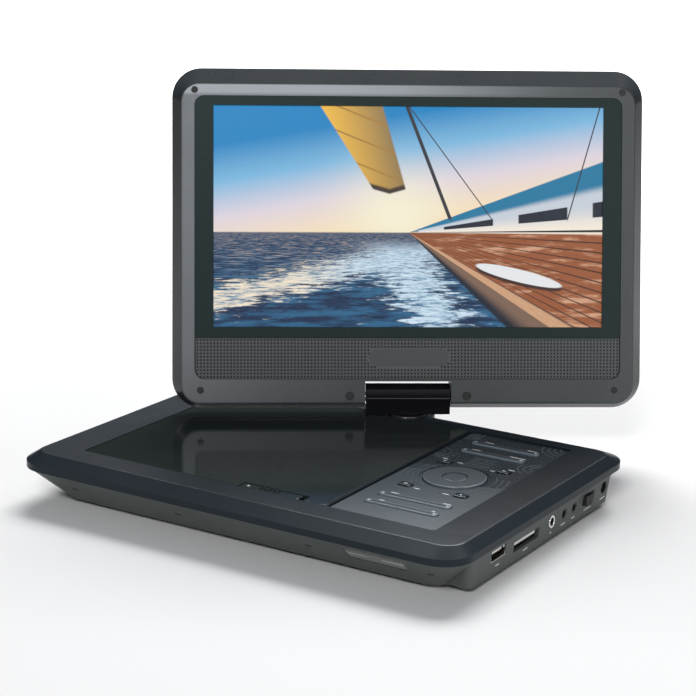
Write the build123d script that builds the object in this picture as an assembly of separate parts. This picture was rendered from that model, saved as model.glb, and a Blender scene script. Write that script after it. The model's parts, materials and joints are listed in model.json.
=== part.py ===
"""Portable disc player: a base with a disc drive and keys, and a screen on a swivel hinge.

Frame: millimetres, +Z up, the user at -Y. The origin is the centre of the four feet, on the
surface that they stand on. The screen is modelled upright in its own frame, with the tilt axis
as its origin, and is then tilted back and turned to the pose in which the player is stored.
"""
import os
from math import cos, radians, sin

from build123d import *

os.makedirs("parts", exist_ok=True)

# ---- driving dimensions -------------------------------------------------------------------
BASE_W = 242.0          # base, side to side at the rim
BASE_D = 174.0          # base, front to back at the rim
TOP_Z = 25.0            # flat top of the base
RIM_HI = 21.2           # upper edge of the upright rim
RIM_LO = 18.0           # lower edge of the rim, where the two halves of the base meet
FOOT_H = 1.5            # rubber feet below the bottom cover
FOOT_R = 5.0
WALL = 2.0              # moulded wall
FLAT_SIDE = 5.5         # bevel width between the rim and the flat top, at the sides
FLAT_FRONT = 8.0
FLAT_REAR = 10.0
GAP = 0.4               # seam between covers and moving pieces

DISC = (-27.0, 2.2)     # disc centre
WELL_R = 62.5           # well for a 120 mm disc
WELL_FLOOR = 14.5
WELL_T = 1.5
DECK_Z = 22.8           # ledge that the lid rests on
DECK_T = 2.2
LID = (-95.6, 42.0, -65.4, 69.6)       # recess for the lid: x0, x1, y0, y1
PANEL = (42.9, 98.0, -65.4, 69.6)      # recess for the control panel
PANEL_HI = 24.2
PANEL_LO = 22.6

SWIVEL = (0.0, 77.5)    # swivel axis
COLLAR_R = 11.0
SHAFT_R = 5.0
NECK_R = 4.0            # shaft below the bushing, where the nut holds it
NUT_R = 6.0
NUT_Z = (14.2, 16.3)
FIT = 0.05              # running clearance of a shaft in its bore

TILT_H = 8.5            # tilt axis above the flat top
TILT_Z = TOP_Z + TILT_H
TURN = 35.0             # stored pose: screen turned to its left
LEAN = 12.6             # stored pose: screen leaning back
SCREEN_HW = 120.0       # half the screen housing's width
SCREEN_LO = -5.6        # housing bottom and top, measured from the tilt axis
SCREEN_HI = 166.5
SCREEN_T = 7.6          # front and back faces, each side of the tilt axis
VIEW_HW = 99.0          # half of the 198 x 111.7 mm picture (9 inch, 16:9)
VIEW_H = 111.7
VIEW_MID = 91.6         # picture centre above the tilt axis
BARREL_R = 6.8
BLOCK_HW = 21.5         # half the hinge block's width

LID_AXIS = (66.0, 20.2)                # lid hinge: y, z
LID_LUGS = (-75.0, 31.0)               # lug centres along x
SCREW_SPOTS = [(-97.0, -60.0), (-97.0, 69.0), (-40.0, -66.0), (99.0, -66.5), (99.0, 73.0)]
FOOT_SPOTS = [(-88.0, -56.0), (88.0, -56.0), (-88.0, 56.0), (88.0, 56.0)]


# ---- helpers ------------------------------------------------------------------------------
def slab(x0, x1, y0, y1, z0, z1):
    """A plain block between two corners."""
    middle = Pos((x0 + x1) / 2, (y0 + y1) / 2, (z0 + z1) / 2)
    return middle * Box(x1 - x0, y1 - y0, z1 - z0)


def tile(x0, x1, y0, y1, z0, z1, r):
    """A block with rounded upright corners."""
    outline = Pos((x0 + x1) / 2, (y0 + y1) / 2, z0) * RectangleRounded(x1 - x0, y1 - y0, r)
    return extrude(outline, z1 - z0)


def disc(x, y, z0, z1, r):
    """An upright cylinder."""
    return Pos(x, y, (z0 + z1) / 2) * Cylinder(r, z1 - z0)


def rod(start, length, r, direction):
    """A cylinder from a start point along X or Y."""
    turn = Rot(0, 90, 0) if direction == "x" else Rot(-90, 0, 0)
    return Pos(*start) * turn * Pos(0, 0, length / 2) * Cylinder(r, length)


def flare(lower, z0, upper, z1):
    """A shell block between two rounded rectangles, each x0, x1, y0, y1, r."""
    faces = []
    for (x0, x1, y0, y1, r), z in ((lower, z0), (upper, z1)):
        faces.append(Pos((x0 + x1) / 2, (y0 + y1) / 2, z) * RectangleRounded(x1 - x0, y1 - y0, r))
    return loft(faces, ruled=True)


def inset(outline, amount):
    """The same rounded rectangle, smaller all round."""
    x0, x1, y0, y1, r = outline
    return (x0 + amount, x1 - amount, y0 + amount, y1 - amount, max(r - amount, 1.0))


def level_edges(shape, z, tolerance=0.01):
    """Edges that lie wholly at one height."""
    found = []
    for edge in shape.edges():
        box = edge.bounding_box()
        if abs(box.min.Z - z) < tolerance and abs(box.max.Z - z) < tolerance:
            found.append(edge)
    return found


def save(shape, node):
    export_step(shape, f"parts/{node}.step")


# ---- base: outlines -----------------------------------------------------------------------
RIM = (-BASE_W / 2, BASE_W / 2, -BASE_D / 2, BASE_D / 2, 15.0)
FLAT = (-BASE_W / 2 + FLAT_SIDE, BASE_W / 2 - FLAT_SIDE,
        -BASE_D / 2 + FLAT_FRONT, BASE_D / 2 - FLAT_REAR, 9.0)
TRAY_TOP = inset(RIM, 1.2)                       # top of the bottom cover, in the shadow gap
TRAY_LOW = (-104.5, 106.0, -70.4, 84.0, 10.0)    # its underside, far in from the rim
TRAY_HI_Z = RIM_LO - 0.4
FRONT_RUN = TRAY_LOW[2] - TRAY_TOP[2]            # how far the front face slopes in
FRONT_RISE = TRAY_HI_Z - FOOT_H
PORT_X = 118.6                                   # upright face of the socket block
PORT_Y = (-71.0, 73.0)
PORT_LO = 2.6
SOCKET_X = PORT_X - 3.6                          # socket bodies end just inside the wall


def front_face(x, z):
    """A plane on the sloping front face, its Z pointing out of it and its X along it."""
    y = TRAY_LOW[2] - FRONT_RUN * (z - FOOT_H) / FRONT_RISE
    return Plane(origin=(x, y, z), x_dir=(1, 0, 0), z_dir=(0, -FRONT_RISE, -FRONT_RUN))


# Sockets along the right side: centre y, centre z, half width, half height.
USB = (-43.6, 12.0, 6.75, 2.75)
CARD = (-16.4, 9.7, 12.3, 2.5)
CARD_SLOT = (7.35, 9.9)                          # height of the slot inside that opening
JACK_PHONE = (8.8, 10.6, 3.4)
JACKS_AV = [(21.4, 10.6, 2.7), (32.0, 10.6, 2.7)]
SWITCH = (47.4, 10.8, 6.0, 2.8)
JACK_POWER = (64.0, 11.3, 3.1)
PLUG_R = 1.78                                    # bore for a 3.5 mm plug
WINDOW = (77.6, 12.0, 15.2, 4.4)                 # indicator window: x, z, half width, half height


def base_bottom_cover():
    outer = flare(TRAY_LOW, FOOT_H, TRAY_TOP, TRAY_HI_Z)
    outer = fillet(level_edges(outer, FOOT_H), 1.2)
    port_low = (90.0, PORT_X - 1.6, PORT_Y[0] + 4, PORT_Y[1] - 2, 3.0)
    port_top = (90.0, PORT_X, PORT_Y[0] - 1, PORT_Y[1], 3.0)
    outer += flare(port_low, PORT_LO, port_top, TRAY_HI_Z)
    inside = flare(inset(TRAY_LOW, WALL + 0.6), FOOT_H + WALL, inset(TRAY_TOP, WALL), TRAY_HI_Z)
    room_low = (88.0, PORT_X - 1.6 - WALL, PORT_Y[0] + 6, PORT_Y[1] - 4, 1.5)
    room_top = (88.0, PORT_X - WALL, PORT_Y[0] + 1, PORT_Y[1] - 2, 1.5)
    inside += flare(room_low, PORT_LO + WALL, room_top, TRAY_HI_Z)
    tray = outer - inside
    for x, y in SCREW_SPOTS:
        tray += disc(x, y, FOOT_H + 0.4, 6.4, 4.2) & outer
    for x, y in SCREW_SPOTS:
        tray -= disc(x, y, 0, FOOT_H + 1.8, 2.9)
        tray -= disc(x, y, 0, 10, 1.6)
    # Openings for the sockets.
    for y, z, half_y, half_z in (USB, CARD, SWITCH):
        tray -= slab(PORT_X - 6, PORT_X + 2, y - half_y, y + half_y, z - half_z, z + half_z)
    for y, z, r in [JACK_PHONE, *JACKS_AV, JACK_POWER]:
        tray -= rod((PORT_X - 6, y, z), 8, r, "x")
    # Snap windows and the indicator window's seat in the sloping front.
    for x in (-90.0, -29.5, 42.0, 104.0):
        tray -= front_face(x, 10.3) * Box(3.2, 1.3, 2.4)
    x, z, half_x, half_s = WINDOW
    tray -= front_face(x, z) * Box(2 * half_x, 2 * half_s, 2.4)
    # Room for the swivel nut to turn.
    tray -= disc(*SWIVEL, NUT_Z[0] - 0.6, TRAY_HI_Z + 1, NUT_R + GAP)
    # Vents through the floor under the drive.
    for step in range(7):
        tray -= tile(-60 + 9 * step, -56 + 9 * step, -34, -8, 0, 4, 1.9)
    return tray


def rubber_feet():
    feet = Part()
    for x, y in FOOT_SPOTS:
        foot = disc(x, y, 0, FOOT_H, FOOT_R)
        feet += fillet(level_edges(foot, 0), 0.5)
    return feet


def base_screws():
    screws = Part()
    for x, y in SCREW_SPOTS:
        head = disc(x, y, FOOT_H + 0.3, FOOT_H + 1.7, 2.6) - slab(x - 1.5, x + 1.5, y - 0.3, y + 0.3, 0, 2.6)
        screws += head + disc(x, y, FOOT_H + 1.7, 14, 1.2)
    return screws


# ---- base: top cover, lid and panel ---------------------------------------------------------
def base_top_cover():
    body = flare(RIM, RIM_HI, FLAT, TOP_Z)
    body = fillet(level_edges(body, TOP_Z), 1.6)
    rim_x0, rim_x1, rim_y0, rim_y1, rim_r = RIM
    body += tile(rim_x0, rim_x1, rim_y0, rim_y1, RIM_LO, RIM_HI, rim_r)
    # A level boss round the swivel axis, trimmed at the rear edge of the rim.
    boss = disc(*SWIVEL, RIM_HI - 0.4, TOP_Z, 14.5) & slab(-20, 20, 60, BASE_D / 2 - 0.6, 0, 40)
    body += boss
    hollow = tile(rim_x0 + WALL, rim_x1 - WALL, rim_y0 + WALL, rim_y1 - WALL,
                  RIM_LO - 1, RIM_HI - 0.6, rim_r - WALL)
    hollow += flare(inset(RIM, WALL), RIM_HI - 0.6, inset(FLAT, WALL * 0.6), TOP_Z - WALL)
    cover = body - hollow
    cover += slab(LID[0] - 3, PANEL[1] + 3, LID[2] - 3, LID[3] + 3, DECK_Z - DECK_T, DECK_Z + 0.4)
    cover += disc(*SWIVEL, DECK_Z - DECK_T, TOP_Z - 1, 12) & slab(-20, 20, 60, 84, 0, 40)
    # Lid hinge bosses under the ledge.
    axis_y, axis_z = LID_AXIS
    for x in LID_LUGS:
        cover += slab(x - 8, x + 8, axis_y - 5, axis_y + 5, axis_z - 2.8, DECK_Z)
    # Screw posts down to the bottom cover.
    for x, y in SCREW_SPOTS:
        cover += disc(x, y, 6.6, DECK_Z, 3.2) - disc(x, y, 0, 20, 1.25)
    cover -= tile(LID[0], LID[1], LID[2], LID[3], DECK_Z, TOP_Z + 1, 2.0)
    cover -= tile(PANEL[0], PANEL[1], PANEL[2], PANEL[3], PANEL_LO, TOP_Z + 1, 2.0)
    cover -= disc(*DISC, 10, TOP_Z + 1, WELL_R + WALL + 0.1)
    # Opening for the keys.
    cover -= tile(PANEL[0] + 2.6, PANEL[1] - 2.6, PANEL[2] + 2.6, PANEL[3] - 2.6, 15, PANEL_LO + 1, 2.0)
    # Pockets for the lid's lugs, and the bore of its pins.
    for x in LID_LUGS:
        cover -= slab(x - 3.6, x + 3.6, axis_y - 3.6, axis_y + 3.4, axis_z - 2.9, DECK_Z + 1)
        cover -= rod((x - 7, axis_y, axis_z), 14, 1.0, "x")
    cover -= catch_slot()
    # Collar seat and shaft hole.
    cover -= disc(*SWIVEL, TOP_Z - 1.1, TOP_Z + 1, COLLAR_R + GAP)
    cover -= disc(*SWIVEL, 15, TOP_Z + 1, SHAFT_R + 0.5)
    return cover


def disc_well():
    """The cup that the disc lies in, held under the ledge by its flange."""
    under_ledge = DECK_Z - DECK_T
    well = disc(*DISC, WELL_FLOOR - WELL_T, DECK_Z, WELL_R + WALL)
    well += disc(*DISC, under_ledge - 1.2, under_ledge, WELL_R + WALL + 1.5)
    well -= disc(*DISC, WELL_FLOOR, TOP_Z + 1, WELL_R)
    # Opening for the turntable and the pickup.
    track = tile(DISC[0] - 66, DISC[0] + 15.5, DISC[1] - 15.5, DISC[1] + 15.5, 10, WELL_FLOOR + 0.1, 4.0)
    well -= track & disc(*DISC, 0, 30, WELL_R - 1)
    return well - catch_slot()


BUTTON = (-5.0, 27.0, -65.0, -59.6)    # lid release: x0, x1, y0, y1
BUTTON_TRAVEL = 3.0
CATCH_Z = 18.6                         # underside of the lid's catch
HOOK_Z = 20.8                          # underside of the button's hook


def catch_slot():
    """Slot for the release button's hook and the lid's catch."""
    x0, _, y0, y1 = BUTTON
    return slab(x0 - 1.8, x0 + 20, y0 - 0.2, y1 + 3.2, 15, DECK_Z + 1)


def disc_lid():
    x0, x1, y0, y1 = LID
    lid = tile(x0 + GAP, x1 - GAP, y0 + GAP, y1 - GAP, DECK_Z + GAP, TOP_Z, 1.8)
    lid = fillet(level_edges(lid, TOP_Z), 0.5)
    # A ring rib that stiffens the lid inside the well.
    rib = disc(*DISC, DECK_Z - 0.6, DECK_Z + 0.6, WELL_R - 2.5) - disc(*DISC, 20, 30, WELL_R - 4.5)
    lid += rib
    lid -= slab(BUTTON[0] - GAP, BUTTON[1] + BUTTON_TRAVEL + GAP, y0, BUTTON[3] + GAP, 20, 30)
    lid -= disc(*SWIVEL, 20, 30, COLLAR_R + GAP + 0.3)
    axis_y, axis_z = LID_AXIS
    for x in LID_LUGS:
        lug = slab(x - 3, x + 3, axis_y - 2.2, axis_y + 2.2, axis_z, DECK_Z + 0.6)
        lug += rod((x - 3, axis_y, axis_z), 6, 2.2, "x")
        lid += lug - rod((x - 3, axis_y, axis_z), 6, 1.0 + FIT, "x")
    # Catch behind the button, with a foot that the hook holds down.
    x, y = BUTTON[0] - 1.0, BUTTON[3] + 0.6
    lid += slab(x, x + 2.0, y, y + 2.0, CATCH_Z, DECK_Z + 0.6)
    lid += slab(x, x + 5.6, y, y + 2.0, CATCH_Z, CATCH_Z + 1.2)
    return lid


def lid_hinge_pins():
    pins = Part()
    for x in LID_LUGS:
        pins += rod((x - 7, LID_AXIS[0], LID_AXIS[1]), 14, 1.0, "x")
    return pins


def open_button():
    x0, x1, y0, y1 = BUTTON
    button = tile(x0, x1, y0, y1, DECK_Z + GAP, TOP_Z - 0.1, 1.0)
    button = fillet(level_edges(button, TOP_Z - 0.1), 0.35)
    for step in range(5):
        button -= slab(x0 + 10 + 2.4 * step, x0 + 11.2 + 2.4 * step, y0 + 1.2, y1 - 1.2, TOP_Z - 0.5, TOP_Z)
    # Stem through the slot, with a hook that reaches 0.6 over the catch's foot.
    button += slab(x0 + 6.5, x0 + 16.5, y0 + 0.6, y1 - 1.4, HOOK_Z, DECK_Z + 1)
    button += slab(x0 + 4.0, x0 + 9.0, y0 + 2.0, y1 + 2.2, HOOK_Z, HOOK_Z + 1.2)
    return button


# ---- control panel and keys ------------------------------------------------------------------
NAV = (70.2, 2.4)
NAV_R = 15.0
OK_R = 5.7
KEY_TOP = TOP_Z - 0.1
FLANGE = (21.2, 22.3)
TRAVEL = 0.7
ROCK_Z = 22.0           # axis that the key bars tip about
TRUNNION_R = 0.5
BARS = [("key_bar_rear", 69.4, 54.4, 36.0), ("key_bar_upper", 69.6, 41.0, 33.6),
        ("key_bar_lower", 70.6, -35.2, 36.8), ("key_bar_front", 70.5, -46.9, 36.8)]
BAR_W = 4.2
PADS = [("key_menu", 54.8, 20.4), ("key_setup", 85.2, 22.6),
        ("key_mode", 56.0, -18.4), ("key_stop", 84.8, -18.2)]
PAD = (6.6, 4.8)
POSTS = [(49.5, -59.0), (91.5, -59.0), (49.5, 63.0), (91.5, 63.0)]


def control_panel():
    x0, x1, y0, y1 = PANEL
    panel = tile(x0 + GAP, x1 - GAP, y0 + GAP, y1 - GAP, PANEL_LO, PANEL_HI, 1.8)
    panel = fillet(level_edges(panel, PANEL_HI), 0.3)
    panel -= disc(*NAV, 20, 30, NAV_R + 0.35)
    # A shallow moat round the ring.
    panel -= disc(*NAV, PANEL_HI - 0.4, 30, NAV_R + 2.0)
    for _, x, y, length in BARS:
        half_x, half_y = length / 2 + 0.35, BAR_W / 2 + 0.35
        panel -= tile(x - half_x, x + half_x, y - half_y, y + half_y, 20, 30, 1.6)
    for _, x, y in PADS:
        half_x, half_y = PAD[0] / 2 + 0.35, PAD[1] / 2 + 0.35
        panel -= tile(x - half_x, x + half_x, y - half_y, y + half_y, 20, 30, 1.4)
    for x, y in POSTS:
        panel += disc(x, y, 18.7, PANEL_LO + 0.5, 1.8)
    return panel


def nav_ring():
    ring = disc(*NAV, FLANGE[0], KEY_TOP, NAV_R)
    ring = fillet(level_edges(ring, KEY_TOP), 0.6)
    ring += disc(*NAV, *FLANGE, NAV_R + 1.2)
    ring -= disc(*NAV, 20, 30, OK_R + 0.35)
    ring -= disc(*NAV, 20, FLANGE[1] + 0.6, OK_R + 2.2)
    return ring


def ok_key():
    key = disc(*NAV, FLANGE[0], KEY_TOP - 0.2, OK_R)
    key = fillet(level_edges(key, KEY_TOP - 0.2), 0.5)
    return key + disc(*NAV, FLANGE[0], FLANGE[0] + 0.7, OK_R + 1.6)


def key_bar(x, y, length):
    """A rocker: it tips about the trunnions at its middle, under the panel."""
    half = length / 2
    bar = tile(x - half, x + half, y - BAR_W / 2, y + BAR_W / 2, FLANGE[0] + 0.2, KEY_TOP, 1.4)
    bar = fillet(level_edges(bar, KEY_TOP), 0.4)
    bar -= slab(x - half + 3, x + half - 3, y - 0.25, y + 0.25, KEY_TOP - 0.3, KEY_TOP + 1)
    bar += slab(x - 5, x + 5, y - BAR_W / 2 - 1, y + BAR_W / 2 + 1, *FLANGE)
    reach = BAR_W / 2 + 2.4
    return bar + rod((x, y - reach, ROCK_Z), 2 * reach, TRUNNION_R, "y")


def key_pad(x, y):
    half_x, half_y = PAD[0] / 2, PAD[1] / 2
    pad = tile(x - half_x, x + half_x, y - half_y, y + half_y, FLANGE[0], KEY_TOP, 1.2)
    pad = fillet(level_edges(pad, KEY_TOP), 0.5)
    return pad + slab(x - half_x - 0.9, x + half_x + 0.9, y - half_y, y + half_y, *FLANGE)


def key_mat():
    mat = tile(47, 94, -61.5, 65.5, 18.7, 19.5, 2.0)
    for x, y in POSTS:
        mat -= disc(x, y, 18, 21, 2.3)
    for turn in range(4):
        angle = radians(90 * turn)
        mat += disc(NAV[0] + 11 * cos(angle), NAV[1] + 11 * sin(angle), 19.0, 20.2, 2.4)
    mat += disc(*NAV, 19.0, 20.2, 2.4)
    for _, x, y, length in BARS:
        for side in (-1, 1):
            mat += disc(x + side * (length / 2 - 4), y, 19.0, 20.2, 1.9)
    for _, x, y in PADS:
        mat += disc(x, y, 19.0, 20.2, 2.2)
    return mat


def key_board():
    board = tile(46.6, 94.6, -62, 66, 17.1, 18.7, 1.0)
    board += slab(80, 90, -8, 12, 15.6, 17.2)
    return board


# ---- electronics ------------------------------------------------------------------------------
BOARD_Z = 6.6


def main_board():
    board = tile(43.5, 112.0, -60.0, 66.0, BOARD_Z - 1.6, BOARD_Z, 2.0)
    board += slab(58, 78, -20, 0, BOARD_Z - 0.1, BOARD_Z + 1.4)         # processor
    board += slab(60, 76, 12, 22, BOARD_Z - 0.1, BOARD_Z + 1.1)         # memory
    board += slab(54, 64, 40, 50, BOARD_Z - 0.1, BOARD_Z + 3.6)         # inductor
    for x, y in ((72, 38), (72, 52), (84, 45), (88, -34), (52, -40)):
        board += disc(x, y, BOARD_Z - 0.1, BOARD_Z + 6.4, 3.2)          # capacitors
    return board


def usb_socket():
    y, z, half_y, half_z = USB
    x0, x1 = PORT_X - 15.5, PORT_X - 0.9
    shell = slab(x0, x1, y - half_y + 0.2, y + half_y - 0.2, z - half_z + 0.15, z + half_z - 0.15)
    shell -= slab(x0 + 1.5, x1 + 1, y - 6.2, y + 6.2, z - 2.3, z + 2.3)
    shell += slab(x0 + 1, x1 - 1.2, y - 5.5, y + 5.5, z + 0.2, z + 2.05)     # contact tongue
    shell += slab(x0, x0 + 5, y - 5, y + 5, BOARD_Z, z)
    return shell


def card_socket():
    y, z, half_y, half_z = CARD
    x0, x1 = PORT_X - 29, SOCKET_X
    shell = slab(x0, x1, y - 13.6, y + 13.6, BOARD_Z, z + half_z)
    shell -= slab(x0 + 1.5, x1 + 1, y - half_y + 0.15, y + half_y - 0.15, *CARD_SLOT)
    # A lip over the slot reaches into the cover's opening, short of the rear end.
    lip_x = PORT_X - 1.7
    return shell + slab(x1 - 0.2, lip_x, y - half_y + 0.2, y + half_y - 2.8, CARD_SLOT[1] + 0.1, z + half_z - 0.2)


def plug_jack(y, z, r):
    """A 3.5 mm jack: a block on the board, with a round nose in the cover's hole."""
    body = slab(PORT_X - 16, SOCKET_X, y - 3.6, y + 3.6, BOARD_Z, z + 3.6)
    body += rod((SOCKET_X - 0.5, y, z), 3.2, r - 0.15, "x")
    return body - rod((PORT_X - 14.3, y, z), 15, PLUG_R, "x")


def power_jack():
    y, z, r = JACK_POWER
    body = slab(PORT_X - 13, SOCKET_X, y - 4.6, y + 4.6, BOARD_Z, z + 4.4)
    body += rod((SOCKET_X - 0.5, y, z), 3.2, r - 0.15, "x")
    body -= rod((PORT_X - 11, y, z), 12, 2.75, "x")
    return body + rod((PORT_X - 12, y, z), 10, 1.0, "x")


def power_switch():
    y, z, half_y, _ = SWITCH
    body = slab(PORT_X - 9.5, SOCKET_X - 0.2, y - half_y - 1.5, y + half_y + 1.5, BOARD_Z, z + 3.2)
    return body - slab(PORT_X - 6.5, PORT_X, y - 5.6, y + 5.6, z - 1.7, z + 1.7)


SLIDER_TRAVEL = 4.0


def power_slider():
    y, z, half_y, half_z = SWITCH
    start = y - half_y + 0.8
    knob = slab(PORT_X - 3.0, PORT_X + 1.1, start, start + 6.2, z - half_z + 0.4, z + half_z - 0.4)
    for step in range(4):
        groove = start + 1.0 + 1.3 * step
        knob -= slab(PORT_X + 0.7, PORT_X + 2, groove, groove + 0.6, z - 3, z + 3)
    return knob + slab(PORT_X - 5.6, PORT_X - 2.9, start + 1.5, start + 4.7, z - 1.2, z + 1.2)


def battery_pack():
    pack = Part()
    for x in (-91.0, -31.5):
        cell = tile(x, x + 58, 37, 67, 3.9, 11.4, 3.0)
        pack += fillet(level_edges(cell, 11.4), 1.2)
    return pack + slab(-35, -29, 44, 60, 5, 9)


def indicator_window():
    x, z, half_x, half_s = WINDOW
    plate = front_face(x, z) * Pos(0, 0, -0.75) * Box(2 * half_x - 0.3, 2 * half_s - 0.3, 0.8)
    for side in (-1, 1):
        plate -= front_face(x, z) * Pos(9.0 * side, 0.6, 0) * Box(11.6, 1.8, 4)
    return plate


def light_pipes():
    pipes = Part()
    x, z, _, _ = WINDOW
    for side in (-1, 1):
        pipes += front_face(x, z) * Pos(9.0 * side, 0.6, -0.65) * Box(11.3, 1.5, 0.9)
    return pipes


# ---- disc drive --------------------------------------------------------------------------------
DECK_X = (-100.0, -9.0)        # drive chassis along x
PLATE_Z = (10.6, 11.8)
ROD_Z = 8.4
ROD_Y = 17.0
ROD_R = 1.5
SCREW_Y = DISC[1] - 23.2
SCREW_R = 1.2
SLED_X = (-62.0, -40.0)
SLED_TRAVEL = 34.0


def drive_chassis():
    x0, x1 = DECK_X
    y0, y1 = DISC[1] - 33, DISC[1] + 27
    plate = tile(x0, x1, y0, y1, *PLATE_Z, 4.0)
    plate -= tile(x0 + 2.5, SLED_X[1] + 2, DISC[1] - 12.5, DISC[1] + 12.5, 0, 30, 1.5)
    plate -= disc(*DISC, 0, 30, 4.0)
    # End plates that carry the guide rods and the lead screw.
    for x in (x0, x1 - 1.6):
        end = slab(x, x + 1.6, y0 + 3, y1 - 3, 6.0, PLATE_Z[0] + 0.2)
        for side in (-1, 1):
            end -= rod((x - 1, DISC[1] + side * ROD_Y, ROD_Z), 4, ROD_R, "x")
        end -= rod((x - 1, SCREW_Y, ROD_Z), 4, SCREW_R + FIT, "x")
        end -= slab(x - 1, x + 3, DISC[1] - 12.5, DISC[1] + 12.5, 0, 10)
        plate += end
    return plate


DAMPERS = [(-95.0, -27.2), (-14.0, -27.2), (-95.0, 24.4), (-14.0, 24.4)]


def drive_dampers():
    dampers = Part()
    for x, y in DAMPERS:
        post = disc(x, y, FOOT_H + WALL, PLATE_Z[0], 2.6)
        for z in (5.0, 7.0, 9.0):
            post -= disc(x, y, z, z + 0.8, 4) - disc(x, y, z, z + 0.8, 1.9)
        dampers += post
    return dampers


def guide_rods():
    rods = Part()
    for side in (-1, 1):
        rods += rod((DECK_X[0] + 0.3, DISC[1] + side * ROD_Y, ROD_Z), DECK_X[1] - DECK_X[0] - 0.6, ROD_R, "x")
    return rods


def spindle_motor():
    can = disc(*DISC, 5.4, PLATE_Z[0], 9.5)
    can = fillet(level_edges(can, 5.4), 0.8)
    can += disc(*DISC, PLATE_Z[0] - 0.1, 13.2, 3.6)
    return can - disc(*DISC, 6.4, 20, 1.0 + FIT)


def disc_hub():
    hub = disc(*DISC, 15.4, 16.6, 14.0)
    boss = disc(*DISC, 16.5, 20.4, 7.35)
    hub += chamfer(level_edges(boss, 20.4), 1.0)
    hub += disc(*DISC, 13.6, 15.5, 5.0)
    hub += disc(*DISC, 6.8, 14, 1.0)
    for turn in range(3):
        hub -= Pos(*DISC, 0) * Rot(0, 0, 120 * turn) * slab(5.2, 9, -1.6, 1.6, 17.2, 21)
    return hub


def hub_claws():
    claws = Part()
    for turn in range(3):
        claw = slab(5.25, 7.2, -1.35, 1.35, 17.3, 20.0) + Pos(7.1, 0, 18.9) * Rot(90, 0, 0) * Cylinder(0.75, 2.7)
        claws += Pos(*DISC, 0) * Rot(0, 0, 120 * turn) * claw
    return claws


def sled_motor():
    motor = rod((DECK_X[1] + 0.6, SCREW_Y, ROD_Z), 15, 4.2, "x")
    return motor - rod((DECK_X[1] - 1, SCREW_Y, ROD_Z), 4, SCREW_R + 0.3, "x")


def lead_screw():
    start = DECK_X[0] + 0.3
    length = DECK_X[1] - DECK_X[0] + 1.6
    screw = rod((start, SCREW_Y, ROD_Z), length, SCREW_R, "x")
    for step in range(26):
        x = DECK_X[0] + 5 + 3.0 * step
        screw -= rod((x, SCREW_Y, ROD_Z), 1.2, 4, "x") - rod((x, SCREW_Y, ROD_Z), 1.2, SCREW_R - 0.35, "x")
    return screw


def pickup_sled():
    x0, x1 = SLED_X
    sled = slab(x0, x1, DISC[1] - 11.5, DISC[1] + 11.5, 5.4, 12.4)
    for side in (-1, 1):
        y = DISC[1] + side * ROD_Y
        sled += slab(x0 + 3, x1 - 3, min(y - side * 7, y + side * 3), max(y - side * 7, y + side * 3), 6.0, 10.2)
        sled -= rod((x0 - 1, y, ROD_Z), x1 - x0 + 2, ROD_R + FIT, "x")
    sled += slab(x0 + 8, x0 + 13, SCREW_Y + SCREW_R + 0.35, DISC[1] - ROD_Y - 2, 7.4, 9.4)
    lens_x = (x0 + x1) / 2
    return sled - disc(lens_x, DISC[1], 11, 20, 4.2)


def pickup_lens():
    lens_x = (SLED_X[0] + SLED_X[1]) / 2
    holder = disc(lens_x, DISC[1], 11, 13.0, 4.1)
    lens = Pos(lens_x, DISC[1], 12.2) * Sphere(2.4)
    return holder + (lens & disc(lens_x, DISC[1], 12.8, 15, 3))


# ---- swivel hinge ------------------------------------------------------------------------------
def swivel_bushing():
    plate = tile(-22, 22, 69.0, 84.0, 18.6, 20.4, 2.0)
    plate += disc(*SWIVEL, 16.6, 18.7, 7.4) & slab(-20, 20, 60, 83.2, 0, 40)
    return plate - disc(*SWIVEL, 10, 30, SHAFT_R + FIT)


def swivel_shaft():
    shaft = disc(*SWIVEL, TOP_Z - 0.8, TOP_Z + 0.6, COLLAR_R)
    shaft = fillet(level_edges(shaft, TOP_Z + 0.6), 0.4)
    shaft += disc(*SWIVEL, NUT_Z[1] + 0.1, TOP_Z + 2, SHAFT_R)
    shaft += disc(*SWIVEL, 13.0, NUT_Z[1] + 0.2, NECK_R)
    return shaft - disc(*SWIVEL, 10, 40, 2.6)


def swivel_nut():
    ring = disc(*SWIVEL, *NUT_Z, NUT_R)
    for side in (-1, 1):
        ring -= Pos(*SWIVEL, 0) * slab(side * 8 - 2.6, side * 8 + 2.6, -8, 8, 10, 20)
    return ring - disc(*SWIVEL, 10, 30, NECK_R)


def hinge_cover(front):
    """Half of the block that turns with the swivel, in the screen's upright frame."""
    low = TOP_Z + 0.9 - TILT_Z
    block = rod((-BLOCK_HW, 0, 0), 2 * BLOCK_HW, BARREL_R, "x")
    block += slab(-BLOCK_HW, BLOCK_HW, -BARREL_R, BARREL_R, low, 0)
    core = rod((-BLOCK_HW + 1.6, 0, 0), 2 * BLOCK_HW - 3.2, BARREL_R - 1.4, "x")
    core += slab(-BLOCK_HW + 1.6, BLOCK_HW - 1.6, -BARREL_R + 1.4, BARREL_R - 1.4, low - 1, 0)
    shell = block - core
    shell -= rod((-BLOCK_HW - 1, 0, 0), 2 * BLOCK_HW + 2, PIN_R + 0.2, "x")
    half = slab(-30, 30, -20, -0.05, -20, 20) if front else slab(-30, 30, 0.05, 20, -20, 20)
    return shell & half


PIN_R = 2.4


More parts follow.
